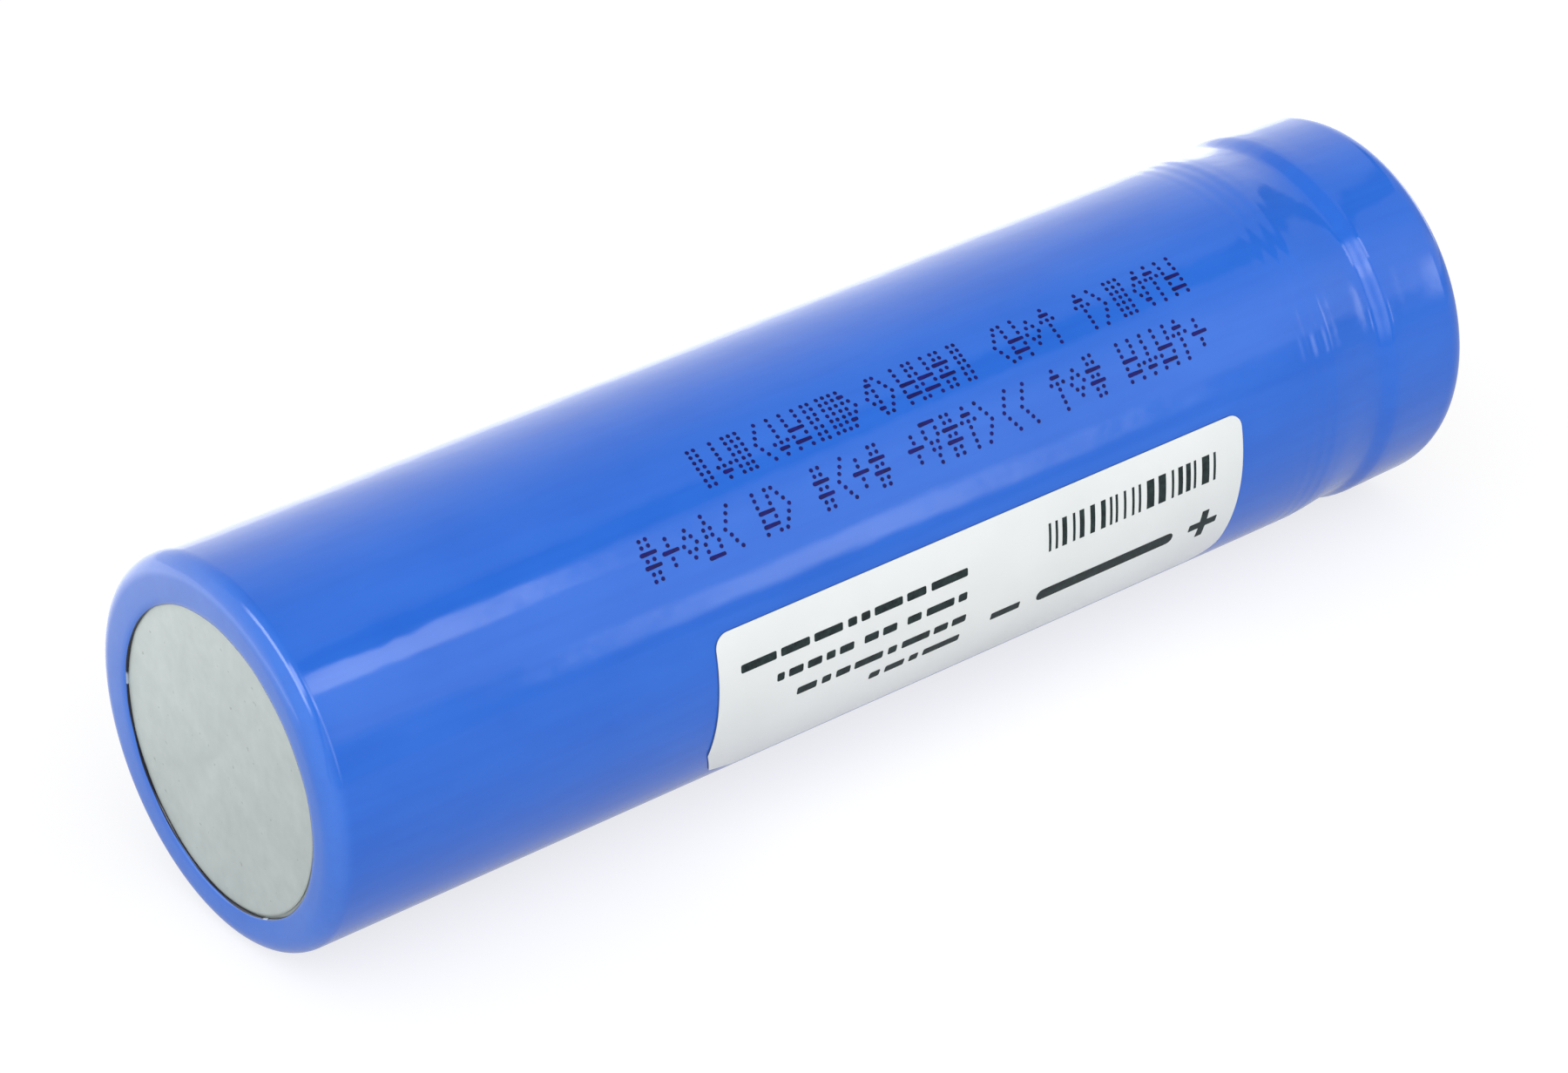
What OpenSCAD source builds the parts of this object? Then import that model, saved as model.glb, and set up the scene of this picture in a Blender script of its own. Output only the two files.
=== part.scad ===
// Cylindrical lithium-ion cell, lying on its side.
// +X runs along the cell from the negative to the positive end and +Z is up.
// The origin is the centre of the negative terminal's flat face.

/* [Cell] */
// Diameter over the plastic sleeve
cell_d = 18.3; // [18.1:0.05:18.6]
// Length of the steel can, from its flat end to the top of the crimped rim
can_length = 64.6; // [60:0.1:70]

/* [Steel can] */
// Wall of the drawn can
can_wall = 0.2; // [0.15:0.01:0.25]
// Thickness of the closed end
can_floor = 0.3; // [0.25:0.01:0.4]
// Outside radius where the closed end turns into the wall
can_corner_r = 1.0; // [0.8:0.05:1.2]
// Inside radius at the same place
can_inner_corner_r = 0.5; // [0.4:0.05:0.55]
// Width of the band between the negative contact and the can's outside
pad_band = 1.85; // [1.5:0.05:3]
// Height of that flat over the band around it
pad_height = 0.06; // [0.04:0.01:0.1]

/* [Bead and crimp] */
// Distance from the top of the rim down to the middle of the bead
bead_from_top = 5.75; // [5.6:0.05:6.5]
// Depth of the bead rolled into the wall
bead_depth = 1.4; // [1.4:0.05:1.6]
// Outside radius of the bead's two shoulders
bead_mouth_r = 0.75; // [0.6:0.05:0.75]
// Outside radius at the bottom of the bead
bead_root_r = 0.65; // [0.5:0.05:0.65]
// Outside radius of the crimped rim
rim_corner_r = 0.7; // [0.5:0.05:0.8]
// Width of the flat on top of the rim
rim_flat = 0.5; // [0.3:0.05:0.7]
// How far the crimped lip reaches in from the can's outside
lip_reach = 2.15; // [1.8:0.05:2.5]
// How far the edge of the lip leans down into the cell
lip_drop = 0.3; // [0.1:0.05:0.4]

/* [Sleeve] */
// Wall of the shrunk sleeve
sleeve_wall = 0.1; // [0.06:0.01:0.15]
// Thickness of the sleeve where it folds over each end
sleeve_lip = 0.2; // [0.1:0.01:0.3]
// Gap between the negative contact and the sleeve's edge around it
sleeve_pad_gap = 0.08; // [0.04:0.01:0.2]
// How far the sleeve folds in over the rim
sleeve_fold = 2.15; // [1.5:0.05:3]
// How far the sleeve sinks into the bead
sleeve_dip = 0.3; // [0.2:0.05:0.45]

/* [Label] */
// Length of the sticker along the cell
label_length = 30.6; // [20:0.1:34]
// Height of the sticker around the cell
label_height = 9; // [6:0.1:12]
// Radius of the sticker's corners
label_corner_r = 0.7; // [0.3:0.05:1.5]
// Thickness of the sticker
label_thick = 0.08; // [0.05:0.01:0.1]
// Distance from the negative contact to the sticker
label_start = 19.8; // [10:0.1:22]
// Turn of the sticker's middle line from the top of the cell
label_angle = 102; // [0:1:150]

/* [Cap stack] */
// Width of the cap's flat flange that the gasket holds
cap_flange = 2.55; // [2.2:0.05:3]
// Height of the cap's flat top over the rim of the can
crown_stand = 0.5; // [0.45:0.05:1]
// Sideways reach of the cap's slope from the flat top to its foot
crown_slope = 1.1; // [0.8:0.1:1.3]
// Thickness of the cap's sheet
cap_thick = 0.4; // [0.3:0.05:0.5]
// Number of gas windows in the cap
cap_windows = 4; // [3:1:6]
// Width of each gas window
cap_window_w = 2.4; // [1.5:0.1:2.8]
// Wall of the sealing gasket outside the stack
gasket_wall = 0.5; // [0.4:0.05:0.6]
// Thickness of the gasket between the bead and the stack
gasket_floor = 1.1; // [0.9:0.05:1.2]
// How far the gasket's floor reaches in from the can's bore
gasket_reach = 1.85; // [1.3:0.05:2.3]
// Thickness of the current-limiting ring
ptc_thick = 0.5; // [0.3:0.05:0.6]
// Width of the current-limiting ring's band
ptc_band = 2.75; // [2.6:0.05:3.4]
// Thickness of the burst disc
burst_thick = 0.35; // [0.25:0.05:0.45]
// Diameter of the burst disc's flat centre
burst_centre_d = 4; // [3:0.1:5]
// Distance from the burst disc's flat rim in to its scored ring
score_inset = 1.6; // [1.2:0.1:2.2]
// Width of the scored ring
score_width = 0.15; // [0.1:0.01:0.2]
// Gap between the burst disc's slope and the ring above it
slope_clear = 0.2; // [0.1:0.05:0.4]
// Depth of the scored ring
score_depth = 0.15; // [0.1:0.01:0.18]
// Thickness of the insulating spacer under the burst disc
spacer_thick = 0.6; // [0.4:0.05:0.7]
// Width of that spacer's band
spacer_band = 2.15; // [1.6:0.05:2.7]
// Thickness of the perforated plate that carries the positive tab
plate_thick = 0.45; // [0.3:0.05:0.6]
// Number of gas holes in the perforated plate
plate_holes = 6; // [4:1:8]
// Diameter of each gas hole
plate_hole_d = 1.8; // [1:0.1:2.2]
// Distance from the plate's edge in to the middle of its gas holes
plate_hole_inset = 3.95; // [3.2:0.05:4.2]
// Thickness of the insulating washer on the rim
washer_thick = 0.2; // [0.15:0.01:0.3]
// Width of the washer's band
washer_band = 2.65; // [2:0.05:2.9]

/* [Electrode roll] */
// Radius of the empty core in the roll
core_r = 1.95; // [1.85:0.05:2.4]
// Thickness of each separator film
separator_thick = 0.02; // [0.016:0.002:0.03]
// Thickness of the coated cathode foil
cathode_thick = 0.15; // [0.14:0.005:0.2]
// Thickness of the coated anode foil
anode_thick = 0.17; // [0.14:0.005:0.2]
// How far the separators stand past each edge of the anode
anode_inset = 0.6; // [0.5:0.05:1]
// How far the anode stands past each edge of the cathode
cathode_inset = 0.5; // [0.3:0.05:1]
// Gap between the taped roll and the can
roll_gap = 0.1; // [0.05:0.01:0.2]
// Free length between the upper insulator and the bead
headspace = 0.6; // [0.3:0.05:1]
// Full turns of the roll before the cathode's tab
turns_to_tab = 10; // [8:1:11]
// Facets in each turn of the roll
turn_steps = 36; // [24:12:48]

/* [Tabs, insulators and core] */
// Width of the aluminium tab to the positive plate
positive_tab_w = 4; // [3:0.1:4.4]
// Width of the nickel tab to the can
negative_tab_w = 3; // [2:0.1:3]
// Thickness of both tabs
tab_thick = 0.1; // [0.08:0.01:0.12]
// Thickness of each insulating tape
tape_thick = 0.05; // [0.03:0.01:0.06]
// Thickness of the two insulating discs
insulator_thick = 0.3; // [0.25:0.01:0.4]
// Gap around the lower insulating disc, which the negative tab passes through
insulator_gap = 0.75; // [0.75:0.05:1.2]
// Diameter of the hole in the middle of both discs
insulator_hole_d = 2.8; // [2:0.1:3]
// Gap between the roll and the slit tube in its core
tube_gap = 0.25; // [0.15:0.05:0.4]
// Wall of that tube
tube_wall = 0.2; // [0.15:0.01:0.3]
// Width of the slit along that tube
tube_slit = 0.4; // [0.2:0.05:0.6]
// How far the tube stops short of the upper insulator
tube_headroom = 0.2; // [0.1:0.05:1]
// Radius of the bends where the tabs turn inwards
tab_bend = 0.35; // [0.3:0.01:0.37]
// How far each tab runs on past the axis
tab_overrun = 2; // [1:0.1:3]
// Distance from the bead's middle down to the positive tab's first run
tab_run_drop = 1; // [0.9:0.05:1.1]
// Clear room between the positive tab's loop and the bead
loop_clear = 2.5; // [1.5:0.1:3]
// Length of the tape on the negative tab
negative_tape_length = 4.7; // [3:0.1:6]
// How far the tape stands past the edges that it covers
tape_margin = 0.2; // [0.1:0.05:0.3]
// Width of the slot for the positive tab beyond the tab itself
slot_side_clear = 0.5; // [0.4:0.05:0.8]
// Reach of that slot to the outside and the inside of the tab
slot_clear = 0.4; // [0.3:0.05:0.5]
// Diameter of the gas holes in the upper insulating disc
gas_hole_d = 2; // [1:0.1:2.6]

/* [Hidden] */
$fn = 96;
arc_steps = 8;
eps = 0.01;
cut_margin = 1;

// Radii of the sleeve and the can, outside in
sleeve_r = cell_d / 2;
can_r = sleeve_r - sleeve_wall;
bore_r = can_r - can_wall;
pad_r = can_r - pad_band;
pad_opening_r = pad_r + sleeve_pad_gap;
lip_r = can_r - lip_reach;
rim_r = can_r - rim_corner_r;
corner_r = can_r - can_corner_r;

// The bead: half its width outside, and the crest of its inside wall
bead_x = can_length - bead_from_top;
bead_half = bead_mouth_r + bead_root_r;
bead_flank_r = can_r - bead_mouth_r;
bead_valley_r = can_r - bead_depth + bead_root_r;
gasket_seat = bead_x + bead_root_r + can_wall;

// The cap stack, bottom to top
stack_r = bore_r - gasket_wall;
plate_x = gasket_seat + gasket_floor;
spacer_x = plate_x + plate_thick;
burst_x = spacer_x + spacer_thick;
ptc_x = burst_x + burst_thick;
cap_x = ptc_x + ptc_thick;
stack_top = cap_x + cap_thick;
crown_top = can_length + crown_stand;
foot_r = stack_r - cap_flange;
crown_r = foot_r - crown_slope;
window_land = cap_thick / 4;
burst_centre_r = burst_centre_d / 2;
burst_slope_r = stack_r - ptc_band - slope_clear;

// The roll, from the closed end up
tab_x = can_floor;
lower_insulator_x = tab_x + tab_thick + tape_thick;
roll_x = lower_insulator_x + insulator_thick;
roll_top = bead_x - bead_half - headspace - insulator_thick;
anode_x = roll_x + anode_inset;
anode_top = roll_top - anode_inset;
cathode_x = anode_x + cathode_inset;
cathode_top = anode_top - cathode_inset;
pitch = 2 * separator_thick + cathode_thick + anode_thick;
cathode_layer = separator_thick;
outer_layer = cathode_layer + cathode_thick;
anode_layer = outer_layer + separator_thick;
roll_r = bore_r - roll_gap - tape_thick - separator_thick;
turns = floor((roll_r - core_r) / pitch * turn_steps) / turn_steps;
cathode_start_turns = 1;
anode_start_turns = 0.5;
outer_wrap_turns = 1;
anode_turns = turns - outer_wrap_turns;
cathode_short_turns = 0.25;
cathode_turns = anode_turns - cathode_short_turns;
tape_facets = 8;
tape_turns = tape_facets / turn_steps;

// The tabs stand in the middle of their own foil's layer
positive_layer = cathode_layer + (cathode_thick - tab_thick) / 2;
positive_r = core_r + pitch * turns_to_tab + positive_layer + tab_thick / 2;
tab_from_anode_end = 0.6;
turns_to_negative = floor(anode_turns - tab_from_anode_end) + 0.5;
negative_layer = anode_layer + (anode_thick - tab_thick) / 2;
negative_r = core_r + pitch * turns_to_negative + negative_layer + tab_thick / 2;
negative_run_x = tab_x + tab_thick / 2;
weld_x = plate_x - tab_thick / 2;
positive_run_x = bead_x - tab_run_drop;
positive_bend_x = positive_run_x - 2 * tab_bend;
tab_overlap = tab_thick / 4;
loop_r = (weld_x - positive_run_x) / 2;
loop_z = can_r - bead_depth - can_wall - loop_clear - loop_r;
lower_insulator_r = bore_r - insulator_gap;
tube_r = core_r - tube_gap;

// Points along an arc, and along an oval with two half-widths
function arc(c, r, a0, a1) = oval(c, [r, r], a0, a1);
function oval(c, r, a0, a1) = [
    for (i = [0 : arc_steps]) let (a = a0 + (a1 - a0) * i / arc_steps)
        [c[0] + r[0] * cos(a), c[1] + r[1] * sin(a)]
];
function reversed(list) = [for (i = [len(list) - 1 : -1 : 0]) list[i]];

// Outside and inside of the can, each from the closed end to the lip
function can_outside() = concat(
    [[0, 0], [pad_r, 0], [pad_r, pad_height]],
    arc([corner_r, pad_height + can_corner_r], can_corner_r, -90, 0),
    arc([bead_flank_r, bead_x - bead_half], bead_mouth_r, 0, 90),
    arc([bead_valley_r, bead_x], bead_root_r, 270, 90),
    arc([bead_flank_r, bead_x + bead_half], bead_mouth_r, -90, 0),
    arc([rim_r, can_length - rim_corner_r], rim_corner_r, 0, 90),
    [[rim_r - rim_flat, can_length], [lip_r, can_length - lip_drop]]
);
function can_inside() = concat(
    [[0, can_floor]],
    arc([bore_r - can_inner_corner_r, can_floor + can_inner_corner_r], can_inner_corner_r, -90, 0),
    arc([bead_flank_r, bead_x - bead_half], bead_mouth_r - can_wall, 0, 90),
    arc([bead_valley_r, bead_x], bead_root_r + can_wall, 270, 90),
    rim_inside()
);
// Inside of the can above the bead: the gasket has this outline too
function rim_inside() = concat(
    arc([bead_flank_r, bead_x + bead_half], bead_mouth_r - can_wall, -90, 0),
    arc([rim_r, can_length - rim_corner_r], rim_corner_r - can_wall, 0, 90),
    [[rim_r - rim_flat, can_length - can_wall], [lip_r, can_length - lip_drop - can_wall]]
);

// How far the sleeve sinks over the bead at a place along the cell
function dip(x) = sleeve_dip / 2 * (1 + cos(180 * (x - bead_x) / bead_half));
function sleeve_wave(r) = [
    for (i = [-arc_steps : arc_steps]) let (x = bead_x + bead_half * i / arc_steps) [r - dip(x), x]
];

// A spiral through the roll at one layer's radius, in whole steps of a turn
function spiral(layer, from, to) = [
    for (k = [round(from * turn_steps) : round(to * turn_steps)])
        let (r = core_r + layer + pitch * k / turn_steps, a = 360 * k / turn_steps)
            [r * cos(a), r * sin(a)]
];
function tab_steps(w, r) = max(1, round(w / (2 * r) * turn_steps / (2 * PI))) / turn_steps;

// Both sides of a strip along a centre line
function side(path, d) = [
    for (i = [0 : len(path) - 1])
        let (
            a = path[max(i - 1, 0)],
            b = path[min(i + 1, len(path) - 1)],
            n = [a[1] - b[1], b[0] - a[0]] / norm(b - a)
        ) path[i] + n * d
];
function strip(path, t) = concat(side(path, t / 2), reversed(side(path, -t / 2)));

// Turns a profile of [radius, place along the cell] around the cell's axis
module turned(profile) {
    rotate([0, 90, 0]) rotate_extrude() polygon(profile);
}
// A flat ring or disc across the axis
module ring(r, hole_r, x, thick) {
    turned([[hole_r, x], [r, x], [r, x + thick], [hole_r, x + thick]]);
}
// A round hole along the axis
module bore_at(r, x, thick) {
    translate([x - eps, 0, 0]) rotate([0, 90, 0]) cylinder(r = r, h = thick + 2 * eps);
}
// A sheet wound at one layer of the roll
module wound(layer, thick, from, to, x0, x1) {
    translate([x0, 0, 0]) rotate([0, 90, 0]) linear_extrude(x1 - x0)
        polygon(concat(spiral(layer + thick, from, to), reversed(spiral(layer, from, to))));
}
// A strip bent along a path of [height, place along the cell]
module bent_strip(path, w, thick) {
    rotate([90, 0, 0]) linear_extrude(w, center = true)
        polygon([for (p = strip(path, thick)) [p[1], p[0]]]);
}
// A rectangle with round corners
module rounded(size, r) {
    far = size / 2 - [r, r];
    polygon(concat(
        arc([far[0], far[1]], r, 0, 90),
        arc([-far[0], far[1]], r, 90, 180),
        arc([-far[0], -far[1]], r, 180, 270),
        arc([far[0], -far[1]], r, 270, 360)
    ));
}

module shrink_sleeve() {
    top = can_length + washer_thick;
    near = [corner_r, pad_height + can_corner_r];
    far = [rim_r, can_length - rim_corner_r];
    fold_r = sleeve_r - sleeve_fold;
    color([0.22, 0.42, 0.85]) turned(concat(
        [[pad_opening_r, -sleeve_lip]],
        oval(near, [can_corner_r + sleeve_wall, near[1] + sleeve_lip], -90, 0),
        sleeve_wave(sleeve_r),
        oval(far, [rim_corner_r + sleeve_wall, top + sleeve_lip - far[1]], 0, 90),
        [[fold_r, top + sleeve_lip], [fold_r, top], [rim_r, top]],
        reversed(arc(far, rim_corner_r, 0, 90)),
        reversed(sleeve_wave(can_r)),
        reversed(arc(near, can_corner_r, -90, 0)),
        [[pad_opening_r, pad_height]]
    ));
}

module paper_label() {
    chord = 2 * sleeve_r * sin(label_height / sleeve_r * 90 / PI);
    color([0.9, 0.91, 0.9]) intersection() {
        ring(sleeve_r + label_thick, sleeve_r, label_start - cut_margin,
            label_length + 2 * cut_margin);
        rotate([label_angle, 0, 0]) translate([label_start + label_length / 2, 0, 0])
            linear_extrude(cell_d) rounded([label_length, chord], label_corner_r);
    }
}

module insulating_washer() {
    color([0.92, 0.92, 0.88]) ring(rim_r, rim_r - washer_band, can_length, washer_thick);
}

module steel_can() {
    color([0.76, 0.78, 0.78]) turned(concat(can_outside(), reversed(can_inside())));
}

module crimp_gasket() {
    hole_r = bore_r - gasket_reach;
    color([0.2, 0.21, 0.22]) turned(concat(
        [[hole_r, gasket_seat]],
        rim_inside(),
        [[lip_r - can_wall, can_length - lip_drop - can_wall], [lip_r - can_wall, stack_top]],
        [[stack_r, stack_top], [stack_r, plate_x], [hole_r, plate_x]]
    ));
}

module top_cap() {
    window_low = stack_top + cap_thick / 2;
    window_high = crown_top - cap_thick - window_land;
    color([0.8, 0.81, 0.82]) difference() {
        turned([
            [0, crown_top], [0, crown_top - cap_thick], [crown_r - cap_thick, crown_top - cap_thick],
            [foot_r - cap_thick, cap_x], [stack_r, cap_x], [stack_r, stack_top],
            [foot_r, stack_top], [crown_r + cap_thick / 2, crown_top - cap_thick], [crown_r, crown_top]
        ]);
        for (i = [0 : cap_windows - 1]) rotate([360 * (i + 0.5) / cap_windows, 0, 0])
            translate([window_low, -cap_window_w / 2, crown_r / 2])
                cube([window_high - window_low, cap_window_w, stack_r]);
    }
}

module ptc_ring() {
    color([0.3, 0.3, 0.32]) ring(stack_r, stack_r - ptc_band, ptc_x, ptc_thick);
}

module burst_disc() {
    score_r = burst_slope_r - score_inset;
    fall = (score_r - burst_centre_r) / (burst_slope_r - burst_centre_r) * spacer_thick;
    score_x = spacer_x + burst_thick + fall - score_depth;
    color([0.83, 0.84, 0.85]) difference() {
        turned([
            [0, spacer_x], [burst_centre_r, spacer_x], [burst_slope_r, burst_x], [stack_r, burst_x],
            [stack_r, ptc_x], [burst_slope_r, ptc_x],
            [burst_centre_r, spacer_x + burst_thick], [0, spacer_x + burst_thick]
        ]);
        ring(score_r + score_width / 2, score_r - score_width / 2, score_x, burst_thick);
    }
}

module vent_spacer() {
    color([0.16, 0.17, 0.18]) ring(stack_r, stack_r - spacer_band, spacer_x, spacer_thick);
}

module perforated_plate() {
    color([0.8, 0.81, 0.82]) difference() {
        ring(stack_r, 0, plate_x, plate_thick);
        for (i = [0 : plate_holes - 1]) rotate([360 * (i + 0.5) / plate_holes, 0, 0])
            translate([0, stack_r - plate_hole_inset, 0]) bore_at(plate_hole_d / 2, plate_x, plate_thick);
    }
}

module positive_tab() {
    half = tab_steps(positive_tab_w, positive_r);
    color([0.85, 0.86, 0.87]) union() {
        wound(positive_layer, tab_thick, turns_to_tab - half, turns_to_tab + half,
            cathode_top, positive_run_x - tab_bend);
        bent_strip(concat(
            [[-positive_r, positive_bend_x]],
            arc([-positive_r + tab_bend, positive_run_x - tab_bend], tab_bend, 180, 90),
            arc([loop_z, positive_run_x + loop_r], loop_r, -90, 90),
            [[-tab_overrun, weld_x]]
        ), positive_tab_w, tab_thick);
    }
}

module positive_tab_tape() {
    half = tab_steps(positive_tab_w, positive_r);
    color([0.83, 0.6, 0.15]) for (layer = [positive_layer - tape_thick, positive_layer + tab_thick])
        wound(layer, tape_thick, turns_to_tab - half, turns_to_tab + half,
            roll_top + tape_margin, positive_bend_x);
}

module upper_insulator() {
    slot_w = positive_tab_w + 2 * slot_side_clear;
    slot_depth = 3 * slot_clear;
    color([0.25, 0.45, 0.3]) difference() {
        ring(bore_r - roll_gap, insulator_hole_d / 2, roll_top, insulator_thick);
        for (a = [-90, 0, 90]) rotate([a, 0, 0])
            translate([0, 0, positive_r]) bore_at(gas_hole_d / 2, roll_top, insulator_thick);
        translate([roll_top - eps, -slot_w / 2, -positive_r - slot_clear])
            cube([insulator_thick + 2 * eps, slot_w, slot_depth]);
    }
}

module separator_inner() {
    color([0.95, 0.95, 0.93]) wound(0, separator_thick, 0, turns, roll_x, roll_top);
}

module cathode_sheet() {
    color([0.15, 0.15, 0.16]) wound(cathode_layer, cathode_thick,
        cathode_start_turns, cathode_turns, cathode_x, cathode_top);
}

module separator_outer() {
    color([0.93, 0.94, 0.95]) wound(outer_layer, separator_thick, 0, anode_turns, roll_x, roll_top);
}

module anode_sheet() {
    color([0.32, 0.3, 0.29])
        wound(anode_layer, anode_thick, anode_start_turns, anode_turns, anode_x, anode_top);
}

module closing_tape() {
    color([0.2, 0.55, 0.35])
        wound(separator_thick, tape_thick, turns - tape_turns, turns, anode_x, anode_top);
}

module core_tube() {
    length = roll_top - roll_x - tube_headroom;
    color([0.7, 0.71, 0.72]) difference() {
        ring(tube_r, tube_r - tube_wall, roll_x, length);
        translate([roll_x - eps, -tube_slit / 2, 0]) cube([length + 2 * eps, tube_slit, core_r]);
    }
}

module lower_insulator() {
    color([0.25, 0.45, 0.3])
        ring(lower_insulator_r, insulator_hole_d / 2, lower_insulator_x, insulator_thick);
}

module negative_tab() {
    half = tab_steps(negative_tab_w, negative_r);
    bend_x = negative_run_x + tab_bend;
    color([0.72, 0.73, 0.72]) union() {
        wound(negative_layer, tab_thick, turns_to_negative - half, turns_to_negative + half,
            bend_x - tab_thick / 2, anode_x);
        bent_strip(concat(
            [[negative_r, bend_x + tab_overlap]],
            arc([negative_r - tab_bend, bend_x], tab_bend, 0, -90),
            [[-tab_overrun, negative_run_x]]
        ), negative_tab_w, tab_thick);
    }
}

module negative_tab_tape() {
    w = negative_tab_w + 2 * tape_margin;
    outer_z = lower_insulator_r - 2 * tape_margin;
    color([0.83, 0.6, 0.15])
        translate([tab_x + tab_thick, -w / 2, outer_z - negative_tape_length])
            cube([tape_thick, w, negative_tape_length]);
}

shrink_sleeve();
paper_label();
insulating_washer();
steel_can();
crimp_gasket();
top_cap();
ptc_ring();
burst_disc();
vent_spacer();
perforated_plate();
positive_tab();
positive_tab_tape();
upper_insulator();
separator_inner();
cathode_sheet();
separator_outer();
anode_sheet();
closing_tape();
core_tube();
lower_insulator();
negative_tab();
negative_tab_tape();
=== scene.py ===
import bpy
import math
import random
from mathutils import Matrix, Vector


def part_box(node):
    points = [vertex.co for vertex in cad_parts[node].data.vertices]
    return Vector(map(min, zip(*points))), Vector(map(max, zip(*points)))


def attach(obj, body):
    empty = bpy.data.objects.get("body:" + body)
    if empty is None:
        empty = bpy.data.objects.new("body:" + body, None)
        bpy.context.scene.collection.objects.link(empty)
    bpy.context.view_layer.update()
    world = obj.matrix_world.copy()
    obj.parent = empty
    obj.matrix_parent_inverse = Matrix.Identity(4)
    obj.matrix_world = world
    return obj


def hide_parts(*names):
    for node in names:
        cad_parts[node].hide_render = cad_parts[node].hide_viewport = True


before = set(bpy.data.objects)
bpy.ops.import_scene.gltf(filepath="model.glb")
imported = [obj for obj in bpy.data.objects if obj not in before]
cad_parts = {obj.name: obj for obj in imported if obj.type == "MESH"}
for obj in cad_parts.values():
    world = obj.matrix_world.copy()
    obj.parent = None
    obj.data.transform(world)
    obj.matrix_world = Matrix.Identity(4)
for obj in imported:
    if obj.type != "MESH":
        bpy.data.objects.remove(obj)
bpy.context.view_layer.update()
print("frame loaded:", len(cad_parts), "nodes")

mm = 0.001
sleeveLow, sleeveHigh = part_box("shrink_sleeve")
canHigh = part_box("steel_can")[1]
capLow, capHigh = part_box("top_cap")
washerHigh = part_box("insulating_washer")[1]
labelLow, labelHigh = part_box("paper_label")
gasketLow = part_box("crimp_gasket")[0]
barrelR = sleeveHigh.z  # over the sleeve
labelMiddle = (labelLow.x + labelHigh.x) / 2


# Helpers for modelling

def deselectAll():
    if bpy.context.object and bpy.context.object.mode != "OBJECT":
        bpy.ops.object.mode_set(mode="OBJECT")
    bpy.ops.object.select_all(action="DESELECT")


def pick(piece, test, kind="vertices"):
    # selects the vertices or faces of a piece that pass a test, and leaves it in edit mode
    bpy.ops.object.mode_set(mode="OBJECT")
    mesh = piece.data
    for group in (mesh.vertices, mesh.edges, mesh.polygons):
        group.foreach_set("select", [False] * len(group))
    chosen = mesh.vertices if kind == "vertices" else mesh.polygons
    for item in chosen:
        item.select = test(item)
    bpy.ops.object.mode_set(mode="EDIT")
    bpy.ops.mesh.select_mode(type="VERT" if kind == "vertices" else "FACE")


def reshape(piece, move):
    # gives every vertex a new place
    bpy.ops.object.mode_set(mode="OBJECT")
    for vertex in piece.data.vertices:
        vertex.co = move(vertex.co)
    piece.data.update()


def applyModifier(piece, kind, **settings):
    bpy.ops.object.mode_set(mode="OBJECT")
    modifier = piece.modifiers.new(kind.title(), kind)
    for key, value in settings.items():
        setattr(modifier, key, value)
    bpy.ops.object.modifier_apply(modifier=modifier.name)


def lathe(name, outline, steps):
    # extrudes a single point along the outline of (place along the cell, radius), then spins it
    deselectAll()
    points = [Vector((x, 0, r)) for x, r in outline]
    bpy.ops.mesh.primitive_plane_add(size=mm, location=points[0])
    piece = bpy.context.object
    piece.name = piece.data.name = name
    bpy.ops.object.transform_apply(location=True, rotation=True, scale=True)
    bpy.ops.object.mode_set(mode="EDIT")
    bpy.ops.mesh.merge(type="CENTER")
    for start, end in zip(points, points[1:]):
        bpy.ops.mesh.extrude_region_move(TRANSFORM_OT_translate={"value": end - start})
    bpy.ops.mesh.select_all(action="SELECT")
    bpy.ops.mesh.spin(steps=steps, angle=2 * math.pi, center=(0, 0, 0), axis=(1, 0, 0))
    bpy.ops.mesh.select_all(action="SELECT")
    bpy.ops.mesh.remove_doubles(threshold=0.0005 * mm)
    return piece


def finishPiece(piece, material, replaced=(), angle=35):
    bpy.ops.object.mode_set(mode="EDIT")
    bpy.ops.mesh.select_all(action="SELECT")
    bpy.ops.mesh.normals_make_consistent(inside=False)
    bpy.ops.object.mode_set(mode="OBJECT")
    bpy.ops.object.shade_smooth_by_angle(angle=math.radians(angle))
    piece.data.materials.clear()
    piece.data.materials.append(material)
    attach(piece, "root")
    if replaced:
        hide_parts(*replaced)
    print("made", piece.name, len(piece.data.polygons), "faces")
    return piece


def arc(centre, radius, start, end, steps):
    # points on a round stretch of an outline; radius may differ along and across the cell
    along, across = radius if isinstance(radius, tuple) else (radius, radius)
    turns = [math.radians(start + (end - start) * i / steps) for i in range(steps + 1)]
    return [(centre[0] + along * math.sin(t), centre[1] + across * math.cos(t)) for t in turns]


def smoothStep(low, high, value):
    t = min(max((value - low) / (high - low), 0), 1)
    return t * t * (3 - 2 * t)


# Helpers for materials

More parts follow.
